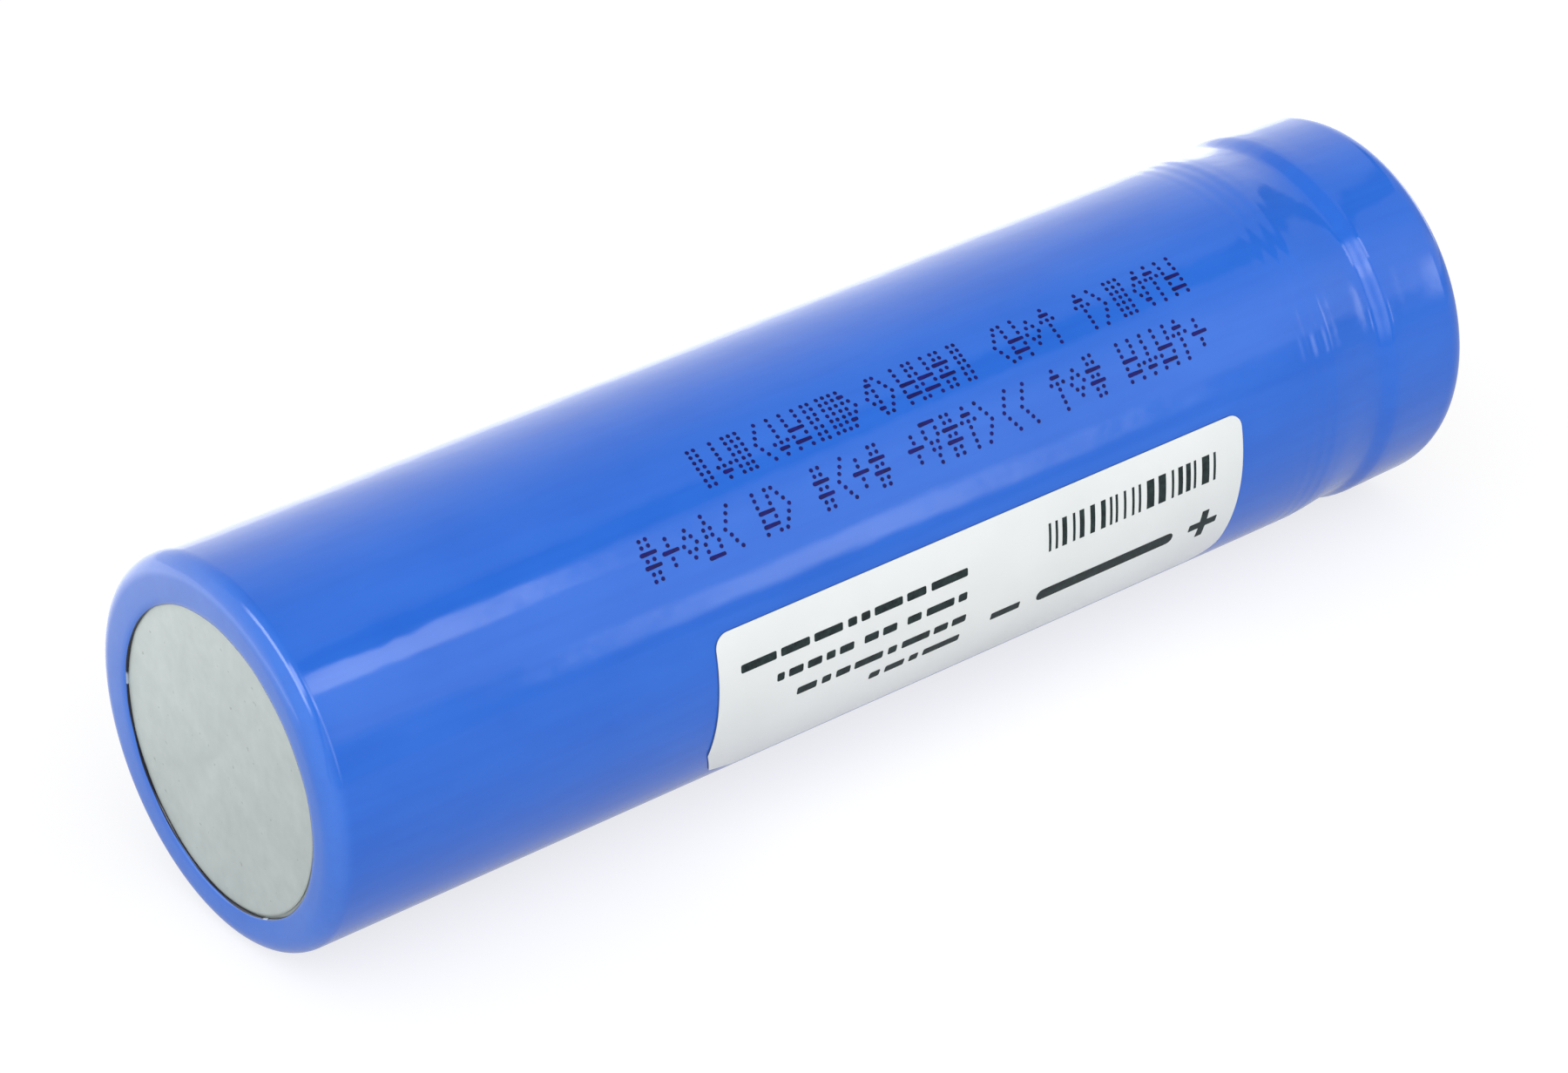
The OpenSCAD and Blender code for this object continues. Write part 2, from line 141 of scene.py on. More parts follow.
class Wire:
    # a socket in a material, with arithmetic that adds Math nodes
    def __init__(self, tree, socket=None):
        self.tree = tree
        self.socket = socket

    def node(self, kind, settings=None, inputs=None, output=0):
        made = self.tree.nodes.new(kind)
        for key, value in (settings or {}).items():
            if key == "stops":
                while len(made.color_ramp.elements) < len(value):
                    made.color_ramp.elements.new(0.5)
                for element, (place, colour) in zip(made.color_ramp.elements, value):
                    element.position = place
                    element.color = colour if isinstance(colour, tuple) else (colour, colour, colour, 1)
            else:
                setattr(made, key, value)
        for key, value in (inputs or {}).items():
            if isinstance(value, Wire):
                self.tree.links.new(value.socket, made.inputs[key])
            else:
                made.inputs[key].default_value = value
        return Wire(self.tree, made.outputs[output])

    def math(self, operation, *values):
        return self.node("ShaderNodeMath", {"operation": operation}, dict(enumerate(values)))

    def __add__(self, other):
        return self.math("ADD", self, other)

    def __radd__(self, other):
        return self.math("ADD", other, self)

    def __sub__(self, other):
        return self.math("SUBTRACT", self, other)

    def __rsub__(self, other):
        return self.math("SUBTRACT", other, self)

    def __mul__(self, other):
        return self.math("MULTIPLY", self, other)

    def __rmul__(self, other):
        return self.math("MULTIPLY", other, self)

    def __truediv__(self, other):
        return self.math("DIVIDE", self, other)

    def clamp(self, low=0.0, high=1.0):
        return self.math("MINIMUM", self.math("MAXIMUM", self, low), high)

    def smooth(self, low, high):
        # 0 at low and 1 at high, with a soft start and end
        settings = {"interpolation_type": "SMOOTHSTEP"}
        return self.node("ShaderNodeMapRange", settings, {"Value": self, "From Min": low, "From Max": high})

    def ramp(self, *stops):
        return self.node("ShaderNodeValToRGB", {"stops": stops}, {"Fac": self})

    def between(self, first, second):
        # a colour mixed by this value
        inputs = {"Factor": self, 6: first, 7: second}
        return self.node("ShaderNodeMix", {"data_type": "RGBA"}, inputs, output=2)

    def part(self, axis):
        return self.node("ShaderNodeSeparateXYZ", {}, {0: self}, output=axis)

    def noise(self, scale, detail=3.0, roughness=0.5):
        inputs = {"Vector": self, "Scale": scale, "Detail": detail, "Roughness": roughness}
        return self.node("ShaderNodeTexNoise", {}, inputs)

    def stretched(self, x, y, z):
        return self.node("ShaderNodeMapping", {}, {"Vector": self, "Scale": (x, y, z)})

    def bump(self, strength, distance):
        return self.node("ShaderNodeBump", {}, {"Height": self, "Strength": strength, "Distance": distance})


def newMaterial(name):
    material = bpy.data.materials.new(name)
    material.use_nodes = True
    tree = material.node_tree
    place = Wire(tree).node("ShaderNodeTexCoord", output=3)
    return material, place, tree.nodes["Principled BSDF"]


def setShader(shader, **given):
    # a link where the value varies, a plain value where it doesn't
    for key, value in given.items():
        socket = shader.inputs[key.replace("_", " ")]
        if isinstance(value, Wire):
            value.tree.links.new(value.socket, socket)
        else:
            socket.default_value = value


def rgb(red, green, blue):
    # a display colour from 0 to 255 as the linear colour that a shader takes
    parts = [c / 255 for c in (red, green, blue)]
    return tuple(c / 12.92 if c <= 0.04045 else ((c + 0.055) / 1.055) ** 2.4 for c in parts) + (1,)


# Sleeve: blue heat-shrink film over the can, the bead and both ends

sleeveSettings = {
    "steps": 192,
    "wall": 0.1 * mm,
    "padBand": 1.95 * mm,  # from the film's outside in to the contact's edge
    "lap": 0.09 * mm,  # how far the film laps over that edge
    "offCentre": (-0.24 * mm, -0.1 * mm),  # where the opening's middle lies, across and up
    "lipEdge": 0.08 * mm,  # how far the cut edge stands over the contact's face
    "lipRoll": ((0.06 * mm, 0.05 * mm), (0.2 * mm, 0.4 * mm)),  # how it rolls over into the flat
    "shelf": 0.55 * mm,  # how far the film lies on that face
    "shelfGap": 0.008 * mm,
    "shelfStep": 0.07 * mm,
    "padHeight": 0.06 * mm,
    "nearR": 1.0 * mm,
    "farR": 0.8 * mm,
    "farFold": 2.15 * mm,
    "beadFromGasket": 0.85 * mm,
    "underBead": 1.3 * mm,  # half the bead's width under the film
    "waistSteps": 60,
    "dipStart": -2.6 * mm,  # these three from the middle of the bead
    "dipDeepest": 0.5 * mm,
    "dipEnd": 1.7 * mm,
    "dip": 0.22 * mm,
    "taper": 0.06 * mm,  # how much the collar narrows to the rim
    "waver": 0.006 * mm,
    "ripple": 0.003 * mm,
    # small folds round the film just before the dip: start and end from the bead, spacing and depth
    "hoops": (-4.7 * mm, -1.4 * mm, 0.8 * mm, 0.012 * mm),
    "collar": (2.75 * mm, 3.75 * mm),  # two places on the collar, from the bead
    "wavering": 1.6 * mm,  # how far from the bead the film is out of round
    "dimpled": ((-3.25 * mm, -2.25 * mm), (2.75 * mm, 1.95 * mm)),  # where its dimples begin and are full
    "ragged": 0.02 * mm,
}
contactR = barrelR - sleeveSettings["padBand"]  # the can's bare end
lipR = contactR - sleeveSettings["lap"]  # the film's opening
beadX = gasketLow.x - sleeveSettings["beadFromGasket"]


def sleeveMaterial():
    material, place, shader = newMaterial("sleeveFilm")
    s = sleeveSettings
    x, y, z = (place.part(axis) for axis in range(3))
    film = place.stretched(0.5, 1, 1).noise(260, 3, 0.55)
    film = film.ramp((0.3, rgb(27, 99, 206)), (0.7, rgb(37, 106, 213)))
    drawn = place.stretched(0.07, 1, 1).noise(1500, 3, 0.6).smooth(0.35, 0.75)
    film = (0.12 * drawn).between(film, rgb(10, 70, 184))
    shrunkAndPaintedLight = x.smooth(0.9 * mm, 0.1 * mm)  # paler over the near end and corner: partly the film shrunk hard over the corner, partly painted light on the end face
    film = (0.2 * shrunkAndPaintedLight).between(film, rgb(112, 152, 222))
    across, up = s["offCentre"]
    fromOpening = place.math("SQRT", (y - across) * (y - across) + (z - up) * (z - up))
    nearEnd = x.smooth(2 * mm, mm)
    # painted shade: the cut edge round the opening is painted near-black navy for the shadow in the gap over
    # the can's contact; the whitened nicks are wear
    cutEdgeShadeAndNicks = fromOpening.smooth(lipR + 0.05 * mm, lipR + 0.02 * mm) * nearEnd
    nicks = place.noise(700, 1, 0.5).smooth(0.68, 0.7)
    film = cutEdgeShadeAndNicks.between(film, nicks.between(rgb(10, 12, 30), rgb(170, 182, 200)))
    rolls = place.stretched(0.3, 1, 1).noise(170, 2, 0.5)
    before, after = ([beadX + d for d in ends] for ends in s["dimpled"])
    atBead = x.smooth(*before) * x.smooth(*after)
    dimples = place.stretched(0.6, 1, 1).noise(620, 2, 0.5) * (0.34 + 0.5 * atBead)
    grain = place.noise(5200, 2, 0.5)
    setShader(
        shader,
        Base_Color=film,
        Roughness=0.06 + 0.07 * place.noise(420, 3, 0.6),
        Normal=(1.7 * rolls + dimples + 0.012 * grain).bump(0.8, 0.05 * mm),
    )
    return material


def makeSleeve():
    s = sleeveSettings
    foldR = barrelR - s["farFold"]
    nearX = sleeveLow.x + s["nearR"]
    rimX = washerHigh.x
    cornerR = barrelR - s["nearR"]
    farX = canHigh.x - s["farR"] + s["wall"]

    def sink(x):
        # how far the film lies under the barrel's line: a slow fall into the bead, a quicker rise out of it
        fall = smoothStep(s["dipStart"], s["dipDeepest"], x - beadX)
        rise = smoothStep(s["dipEnd"], s["dipDeepest"], x - beadX)
        first, last, spacing, depth = s["hoops"]
        along = min(max(x - beadX - first, 0), last - first)
        hoop = depth * math.sin(math.pi * along / spacing) ** 2 * math.sin(math.pi * along / (last - first))
        return s["dip"] * fall * rise + hoop + s["taper"] * smoothStep(beadX + s["dipEnd"], farX, x)

    (rollRise, rollIn), (flatFrom, flatTo) = s["lipRoll"]
    outside = [(-s["lipEdge"], lipR), (-s["lipEdge"] - rollRise, lipR + rollIn)]
    outside += [(sleeveLow.x + 0.02 * mm, lipR + flatFrom), (sleeveLow.x, lipR + flatTo)]
    outside += arc((nearX, cornerR), s["nearR"], -90, 0, 18)
    waistX = beadX + s["hoops"][0]
    outside += [(x * mm, barrelR) for x in range(2, 60, 2) if x * mm < waistX]
    waistLong = beadX + s["dipEnd"] - waistX
    waist = [waistX + waistLong * i / s["waistSteps"] for i in range(s["waistSteps"] + 1)]
    outside += [(x, barrelR - sink(x)) for x in waist + [beadX + d for d in s["collar"]]]
    rimMiddle = (farX, canHigh.z - s["farR"] + s["wall"])
    outside += arc(rimMiddle, (sleeveHigh.x - farX, s["farR"] - s["taper"]), 0, 90, 10)
    outside += [(sleeveHigh.x, foldR + 0.06 * mm), (sleeveHigh.x - 0.05 * mm, foldR)]
    inside = [(rimX, foldR), (rimX, canHigh.z - s["farR"]), (farX, canHigh.z - s["taper"] / 2)]
    inside += [(beadX + s["underBead"], canHigh.z)]
    inside += [(beadX + s["dipDeepest"], barrelR - s["dip"] - s["wall"])]
    inside += [(beadX - s["underBead"], canHigh.z), (nearX, canHigh.z)]
    inside += [(s["padHeight"], cornerR), (s["padHeight"], lipR + s["shelf"] + s["shelfStep"])]
    inside += [(-s["shelfGap"], lipR + s["shelf"]), (-s["shelfGap"], lipR)]
    piece = lathe("shrinkSleeve", outside + inside + outside[:1], s["steps"])

    def settle(p):
        # the film isn't quite round at the bead, and its cut edges wander
        turn = math.atan2(-p.y, p.z)
        radius = math.hypot(p.y, p.z)
        nearBead = math.exp(-((p.x - beadX) / s["wavering"]) ** 2)
        grow = -s["waver"] * (1 + math.sin(3 * turn + 1) * 0.6 + math.sin(7 * turn) * 0.4) * nearBead
        grow -= s["ripple"] * (1 + math.sin(23 * turn + 2 * math.sin(5 * turn))) * nearBead
        if radius < lipR + 0.1 * mm and p.x < mm:
            grow += s["ragged"] * math.sin(5 * turn + 2) * math.sin(11 * turn)
        aside = smoothStep(cornerR, lipR + s["shelf"] + 0.09 * mm, radius) if p.x < mm else 0
        across, up = (aside * shift for shift in s["offCentre"])
        return Vector((p.x, p.y * (1 + grow / radius) + across, p.z * (1 + grow / radius) + up))

    reshape(piece, settle)
    finishPiece(piece, sleeveMaterial(), ["shrink_sleeve"], 50)


makeSleeve()


# Sticker: a satin white label along the barrel, with ruled bars and polarity marks

labelSettings = {
    "length": labelHigh.x - labelLow.x,
    "height": 9.0 * mm,
    "turn": 102,
    "corner": 0.7 * mm,
    "worn": {"near": (2.4 * mm, 2), "far": (1.5 * mm, 6)},  # the lower corners: size and steps
    "thick": 0.08 * mm,
    "ink": 0.008 * mm,
    "shortest": 0.3 * mm,  # no bar starts in less room than this
    "barHigh": 0.42 * mm,
    "barCorner": 0.08 * mm,
    "barWidths": (0.5, 0.8, 1.1, 1.6, 2.1),  # these four in mm
    "barGaps": (0.25, 0.25, 0.3, 0.6),
    "boldWidths": (0.14, 0.14, 0.28, 0.45, 0.6),
    "boldGaps": (0.2, 0.26, 0.36),
    # rows of ruled bars, each: start and end along the cell, turn, in mm and degrees
    "rows": ((21.0, 33.8, 86.4), (23.0, 33.8, 94.2), (24.2, 33.9, 102.4), (28.6, 33.8, 110.0)),
    "bold": (38.2, 48.7, 87.0),  # a strip of upright bars
    "boldHigh": 1.45 * mm,
    "signs": (36.4, 48.4, 107.2),  # the minus and plus ends
    "signSize": 1.7 * mm,
    "signThick": 0.42 * mm,
    "signCorner": 0.05 * mm,
    "seed": 5,
}


def wrap(piece, middleX, turn, radius):
    # bends a flat layout of (along, up, height) round the barrel
    def bend(p):
        angle = math.radians(turn) - p.y / radius
        r = radius + p.z
        return Vector((middleX + p.x, -r * math.sin(angle), r * math.cos(angle)))

    reshape(piece, bend)


def labelMaterial():
    material, place, shader = newMaterial("stickerPaper")
    radius = place.math("SQRT", place.part(1) * place.part(1) + place.part(2) * place.part(2))
    fibres = place.noise(3000, 4, 0.6)
    face = place.noise(150, 3, 0.5).ramp((0.3, rgb(229, 233, 233)), (0.7, rgb(237, 240, 240)))
    # the label's side faces are painted dark grey-blue, a thin dark line along its edges
    cutEdge = radius.smooth(barrelR + 0.07 * mm, barrelR + 0.05 * mm)
    setShader(
        shader,
        Base_Color=cutEdge.between(face, rgb(84, 96, 128)),
        Roughness=0.3 + 0.12 * fibres,
        Normal=(fibres + 2 * place.noise(260, 2, 0.5)).bump(0.3, 0.01 * mm),
    )
    return material


def inkMaterial(name, dark, worn):
    material, place, shader = newMaterial(name)
    patchy = place.noise(2600, 3, 0.6)
    setShader(
        shader,
        Base_Color=patchy.ramp((0.35, dark), (0.75, worn)),
        Roughness=0.35 + 0.2 * patchy,
        Specular_IOR_Level=0.2,
    )
    return material


def makeLabel():
    s = labelSettings
    deselectAll()
    bpy.ops.mesh.primitive_plane_add(size=1, location=(0, 0, 0))
    piece = bpy.context.object
    piece.name = piece.data.name = "paperLabel"
    piece.scale = (s["length"], s["height"], 1)
    bpy.ops.object.transform_apply(location=True, rotation=True, scale=True)
    near, far = s["worn"]["near"], s["worn"]["far"]
    corners = (
        (lambda v: v.co.y > 0 and abs(v.co.x) > 0.49 * s["length"], (s["corner"], 8)),
        (lambda v: v.co.y < 0 and v.co.x < -0.49 * s["length"], near),
        (lambda v: v.co.y < 0 and v.co.x > 0.49 * s["length"], far),
    )
    for test, (size, steps) in corners:
        pick(piece, test)
        bpy.ops.mesh.bevel(offset=size, offset_type="OFFSET", segments=steps, affect="VERTICES")
    cutAcross(piece, s["height"], 24)
    applyModifier(piece, "SOLIDIFY", thickness=s["thick"], offset=1)
    wrap(piece, labelMiddle, s["turn"], barrelR)
    finishPiece(piece, labelMaterial(), ["paper_label"], 40)


def cutAcross(piece, height, cuts):
    # bisects a flat layout across its height, so that it can follow the barrel
    bpy.ops.object.mode_set(mode="EDIT")
    for i in range(1, cuts):
        bpy.ops.mesh.select_all(action="SELECT")
        bpy.ops.mesh.bisect(plane_co=(0, height * (i / cuts - 0.5), 0), plane_no=(0, 1, 0))


def stamp(x, y, width, height, corner=0.0):
    # one flat printed bar, with round corners if they are asked for
    deselectAll()
    bpy.ops.mesh.primitive_plane_add(size=1)
    shape = bpy.context.object
    shape.scale = (width, height, 1)
    bpy.ops.object.transform_apply(location=True, rotation=True, scale=True)
    if corner:
        bpy.ops.object.mode_set(mode="EDIT")
        bpy.ops.mesh.select_all(action="SELECT")
        bpy.ops.mesh.bevel(offset=corner, offset_type="OFFSET", segments=3, affect="VERTICES")
        bpy.ops.object.mode_set(mode="OBJECT")
    shape.location = (x, y, 0)
    bpy.ops.object.transform_apply(location=True, rotation=True, scale=True)
    return shape


def joinShapes(shapes, name):
    deselectAll()
    for shape in shapes:
        shape.select_set(True)
    bpy.context.view_layer.objects.active = shapes[0]
    bpy.ops.object.join()
    piece = bpy.context.object
    piece.name = piece.data.name = name
    return piece


def makeLabelPrint():
    s = labelSettings
    chance = random.Random(s["seed"])
    faceR = barrelR + s["thick"]

    def across(turn):
        return math.radians(s["turn"] - turn) * faceR

    shapes = []
    for start, end, turn in s["rows"]:
        x = end * mm
        while x > start * mm + s["shortest"]:
            width = min(chance.choice(s["barWidths"]) * mm, x - start * mm)
            at = x - width / 2 - labelMiddle
            shapes.append(stamp(at, across(turn), width, s["barHigh"], s["barCorner"]))
            x -= width + chance.choice(s["barGaps"]) * mm
    start, end, turn = s["bold"]
    x = end * mm
    while x > start * mm + s["shortest"]:
        width = chance.choice(s["boldWidths"]) * mm
        shapes.append(stamp(x - width / 2 - labelMiddle, across(turn), width, s["boldHigh"]))
        x -= width + chance.choice(s["boldGaps"]) * mm
    low, high, turn = s["signs"]
    size, thick, corner = s["signSize"], s["signThick"], s["signCorner"]
    low, high, y = low * mm - labelMiddle, high * mm - labelMiddle, across(turn)
    shapes.append(stamp(low, y, size, thick, corner))
    shapes.append(stamp(high, y, size, thick, corner))
    shapes.append(stamp(high, y + size / 4 + thick / 4, thick, size / 2 - thick / 2))
    shapes.append(stamp(high, y - size / 4 - thick / 4, thick, size / 2 - thick / 2))
    between = high - low - 2.2 * size  # a long bar between the two signs
    shapes.append(stamp((low + high) / 2, y, between, 1.6 * thick, 0.3 * mm))
    piece = joinShapes(shapes, "labelPrint")
    cutAcross(piece, s["height"], 40)
    applyModifier(piece, "SOLIDIFY", thickness=s["ink"], offset=1)
    wrap(piece, labelMiddle, s["turn"], faceR)
    finishPiece(piece, inkMaterial("labelInk", rgb(18, 30, 32), rgb(44, 60, 60)), angle=20)


makeLabel()
makeLabelPrint()


# Marks on the sleeve: two lines of dot-matrix signs, none of them a letter or a number

markSettings = {
    "columnPitch": 0.175 * mm,
    "rowPitch": 0.31 * mm,
    "dot": 0.205 * mm,
    "pitch": 1.05 * mm,
    "thick": 0.01 * mm,
    "jitter": 0.06,  # how far a dot strays, as a share of its size
    # each line: its start along the cell in mm, its turn in degrees, and how many signs stand together
    "lines": ((22.2, 29.3, (15, 4, 6)), (17.7, 47.8, (5, 2, 4, 7, 3, 5))),
    "seed": 11,
}
signs = (
    "..... ..#.. ..#.. ##### ..#.. ..#.. .....",
    "#.... .#... ..#.. ...#. ..#.. .#... #....",
    "....# ...#. ..#.. .#... ..#.. ...#. ....#",
    "..... ..#.. .#.#. #...# .#.#. ..#.. .....",
    "..#.. ..#.. .#.#. .#.#. #...# #...# #####",
    "##### #...# #...# .#.#. .#.#. ..#.. ..#..",
    "#.#.# #.#.# #.#.# #.#.# #.#.# #.#.# #.#.#",
    ".#.#. .#.#. .#.#. .#.#. .#.#. .#.#. .#.#.",
    ".#.#. .#.#. ##### .#.#. ##### .#.#. .#.#.",
    "..#.. ..#.. ..#.. ..#.. #.#.# .###. ..#..",
    "..#.. .###. #.#.# ..#.. ..#.. ..#.. ..#..",
    "#...# #...# #...# ##### #...# ##### #...#",
    "#.... ##... #.#.. #..#. #.#.. ##... #....",
    "....# ...## ..#.# .#..# ..#.# ...## ....#",
)


def makeMarks():
    s = markSettings
    chance = random.Random(s["seed"])
    middle = (sleeveLow.x + sleeveHigh.x) / 2

    def makeRun(count):
        # dots side by side in a row flow into one dash
        deselectAll()
        bpy.ops.mesh.primitive_circle_add(vertices=10, radius=s["dot"] / 2, fill_type="NGON")
        run = bpy.context.object
        pick(run, lambda v: v.co.x > 0.001 * mm)
        bpy.ops.transform.translate(value=((count - 1) * s["columnPitch"], 0, 0))
        bpy.ops.object.mode_set(mode="OBJECT")
        return run

    runs = {count: makeRun(count) for count in range(1, 6)}
    collection = bpy.context.collection
    shapes = []
    for start, turn, groups in s["lines"]:
        gaps = {sum(groups[:i + 1]) + i for i in range(len(groups))}
        for k in range(sum(groups) + len(groups)):
            if k in gaps:
                continue
            rows = chance.choice(signs).split()
            left = start * mm + k * s["pitch"] - middle
            top = math.radians(-turn) * barrelR + 3 * s["rowPitch"]
            for r, row in enumerate(rows):
                c = 0
                while c < len(row):
                    length = len(row[c:]) - len(row[c:].lstrip("#"))
                    if length:
                        shape = runs[length].copy()
                        shape.data = runs[length].data.copy()
                        collection.objects.link(shape)
                        spot = Vector((left + c * s["columnPitch"], top - r * s["rowPitch"], 0))
                        jitter = Vector((chance.gauss(0, s["jitter"]), chance.gauss(0, s["jitter"]), 0))
                        shape.location = spot + jitter * s["dot"]
                        shapes.append(shape)
                    c += max(length, 1)
    for run in runs.values():
        bpy.data.objects.remove(run)
    piece = joinShapes(shapes, "sleeveMarks")
    bpy.ops.object.transform_apply(location=True, rotation=True, scale=True)
    applyModifier(piece, "SOLIDIFY", thickness=s["thick"], offset=1)
    wrap(piece, middle, 0, barrelR)
    finishPiece(piece, inkMaterial("markInk", rgb(9, 4, 76), rgb(22, 16, 116)), angle=20)


makeMarks()


# Can, cap and the pieces inside: the nodes of the frame get their materials

def canSteel():
    material, place, shader = newMaterial("canSteel")
    radius = place.math("SQRT", place.part(1) * place.part(1) + place.part(2) * place.part(2))
    cloud = place.noise(330, 4, 0.62)
    fine = place.noise(1100, 3, 0.6)
    specks = place.noise(2600, 2, 0.5).smooth(0.69, 0.75)
    # painted shade: the plate is painted darker towards the contact's edge, for the shade in the gap under
    # the film's lip
    edge = radius.smooth(contactR - 0.12 * mm, contactR - 0.01 * mm)
    plate = (0.5 * cloud + 0.5 * fine).ramp((0.3, rgb(180, 190, 188)), (0.7, rgb(196, 205, 203)))
    plate = (0.4 * specks).between(plate, rgb(110, 114, 112))
    plate = (0.35 * edge).between(plate, rgb(120, 124, 120))
    setShader(
        shader,
        Base_Color=plate,
        Metallic=0.35,
        Roughness=0.42 + 0.16 * cloud,
        Normal=(place.noise(3000, 3, 0.6) + cloud).bump(0.2, 0.005 * mm),
    )
    return material


# each finish: two tones, the grain's pitch per metre, roughness, relief in mm and how metallic it is
finishes = {
    "washerFibre": ((226, 225, 214), (238, 237, 229), 2600, 0.7, 0.012, 0),
    "gasketPlastic": ((20, 20, 23), (33, 33, 36), 900, 0.42, 0.004, 0),
    "capSteel": ((186, 190, 190), (206, 209, 209), 700, 0.26, 0.002, 0.85),
    "ptcPolymer": ((38, 38, 42), (58, 57, 60), 2100, 0.5, 0.006, 0),
    "softAluminium": ((198, 201, 205), (219, 221, 224), 1200, 0.36, 0.003, 0.8),
    "amberTape": ((196, 128, 28), (216, 148, 40), 500, 0.22, 0.002, 0),
    "insulatorBoard": ((48, 101, 64), (60, 118, 76), 2400, 0.6, 0.01, 0),
    "separatorFilm": ((232, 232, 226), (244, 244, 240), 1600, 0.45, 0.003, 0),
    "cathodeCoating": ((22, 22, 25), (36, 36, 39), 3600, 0.75, 0.008, 0),
    "anodeCoating": ((46, 44, 44), (66, 64, 63), 3600, 0.7, 0.008, 0),
    "closingFilm": ((28, 116, 72), (42, 134, 88), 500, 0.25, 0.002, 0),
    "coreSteel": ((168, 170, 173), (188, 190, 193), 1400, 0.3, 0.003, 0.9),
    "tabNickel": ((174, 176, 172), (192, 194, 190), 1400, 0.34, 0.003, 0.85),
}
metalStretch = 0.15  # the grain on metal is drawn out along the cell


def finish(name):
    dark, light, grain, rough, relief, metal = finishes[name]
    material, place, shader = newMaterial(name)
    drawn = place.stretched(metalStretch if metal else 1, 1, 1).noise(grain, 3, 0.6)
    cloud = place.noise(grain / 7, 2, 0.5)
    setShader(
        shader,
        Base_Color=(0.6 * drawn + 0.4 * cloud).ramp((0.3, rgb(*dark)), (0.7, rgb(*light))),
        Metallic=metal,
        Roughness=rough - 0.06 + 0.12 * cloud,
        Normal=drawn.bump(0.5, relief * mm),
    )
    return material


# Cap: a pressed disc with a flat top, a sloping wall with gas windows and a flat foot

capSettings = {
    "steps": 96,
    "thick": 0.4 * mm,
    "foot": 2.55 * mm,  # width of the flat foot
    "slope": 1.1 * mm,
    "windows": 4,
    "windowWide": 2.4 * mm,
    "cutterDeep": 6 * mm,
    "round": 0.14 * mm,
    "cornerAngle": 28,  # a corner sharper than this is rounded
}


def makeCap():
    s = capSettings
    t = s["thick"]
    footTop = capLow.x + t
    footR = capHigh.z - s["foot"]
    crownR = footR - s["slope"]
    outline = [(capHigh.x, 0), (capHigh.x, crownR), (footTop, footR), (footTop, capHigh.z)]
    outline += [(capLow.x, capHigh.z), (capLow.x, footR - t), (capHigh.x - t, crownR - t), (capHigh.x - t, 0)]
    piece = lathe("topCap", outline, s["steps"])
    bpy.ops.mesh.select_all(action="SELECT")
    bpy.ops.mesh.normals_make_consistent(inside=False)
    corners = {"limit_method": "ANGLE", "angle_limit": math.radians(s["cornerAngle"])}
    applyModifier(piece, "BEVEL", width=s["round"], segments=3, **corners)
    windowLow, windowHigh = footTop + t / 2, capHigh.x - 1.25 * t
    for i in range(s["windows"]):
        deselectAll()
        bpy.ops.mesh.primitive_cube_add(size=1)
        cutter = bpy.context.object
        cutter.scale = (windowHigh - windowLow, s["windowWide"], s["cutterDeep"])
        bpy.ops.object.transform_apply(location=True, rotation=True, scale=True)
        bpy.ops.object.mode_set(mode="EDIT")
        bpy.ops.mesh.select_all(action="SELECT")
        bpy.ops.mesh.bevel(offset=(windowHigh - windowLow) * 0.3, segments=3, affect="EDGES")
        bpy.ops.object.mode_set(mode="OBJECT")
        cutter.location = ((windowLow + windowHigh) / 2, 0, crownR + s["cutterDeep"] / 3)
        bpy.ops.object.transform_apply(location=True, rotation=True, scale=True)
        turn = Matrix.Rotation(2 * math.pi * (i + 0.5) / s["windows"], 3, "X")
        reshape(cutter, lambda p: turn @ p)
        deselectAll()
        bpy.context.view_layer.objects.active = piece
        piece.select_set(True)
        applyModifier(piece, "BOOLEAN", operation="DIFFERENCE", object=cutter, solver="EXACT")
        bpy.data.objects.remove(cutter)
    finishPiece(piece, finish("capSteel"), ["top_cap"], 30)


makeCap()

nodeFinishes = {
    "insulating_washer": "washerFibre",
    "crimp_gasket": "gasketPlastic",
    "ptc_ring": "ptcPolymer",
    "burst_disc": "softAluminium",
    "vent_spacer": "gasketPlastic",
    "perforated_plate": "softAluminium",
    "positive_tab": "softAluminium",
    "positive_tab_tape": "amberTape",
    "upper_insulator": "insulatorBoard",
    "separator_inner": "separatorFilm",
    "cathode_sheet": "cathodeCoating",
    "separator_outer": "separatorFilm",
    "anode_sheet": "anodeCoating",
    "closing_tape": "closingFilm",
    "core_tube": "coreSteel",
    "lower_insulator": "insulatorBoard",
    "negative_tab": "tabNickel",
    "negative_tab_tape": "amberTape",
    "shrink_sleeve": "sleeveFilm",
    "paper_label": "stickerPaper",
    "top_cap": "capSteel",
}


def finishNodes():
    made = {"steel_can": canSteel()}
    for nodeName, name in nodeFinishes.items():
        made[nodeName] = bpy.data.materials.get(name) or finish(name)
    for nodeName, material in made.items():
        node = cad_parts[nodeName]
        node.data.materials.clear()
        node.data.materials.append(material)
    print("finished", len(made), "nodes")


finishNodes()


# Camera and light

cameraSettings = {
    "azimuth": -38.44,
    "elevation": 31.94,
    "distance": 241.06 * mm,
    "aim": (30.33 * mm, -0.42 * mm, -0.53 * mm),
    "lens": 122.04,
    "sensor": 36,
    "clip": (0.01, 20),
}


def makeCamera():
    s = cameraSettings
    azimuth, elevation = math.radians(s["azimuth"]), math.radians(s["elevation"])
    back = Vector((
        math.sin(azimuth) * math.cos(elevation),
        -math.cos(azimuth) * math.cos(elevation),
        math.sin(elevation),
    ))
    deselectAll()
    bpy.ops.object.camera_add(location=Vector(s["aim"]) + back * s["distance"])
    camera = bpy.context.object
    camera.rotation_mode = "QUATERNION"
    camera.rotation_quaternion = (-back).to_track_quat("-Z", "Y")
    camera.data.lens = s["lens"]
    camera.data.sensor_width = s["sensor"]
    camera.data.clip_start, camera.data.clip_end = s["clip"]
    bpy.context.scene.camera = camera


makeCamera()

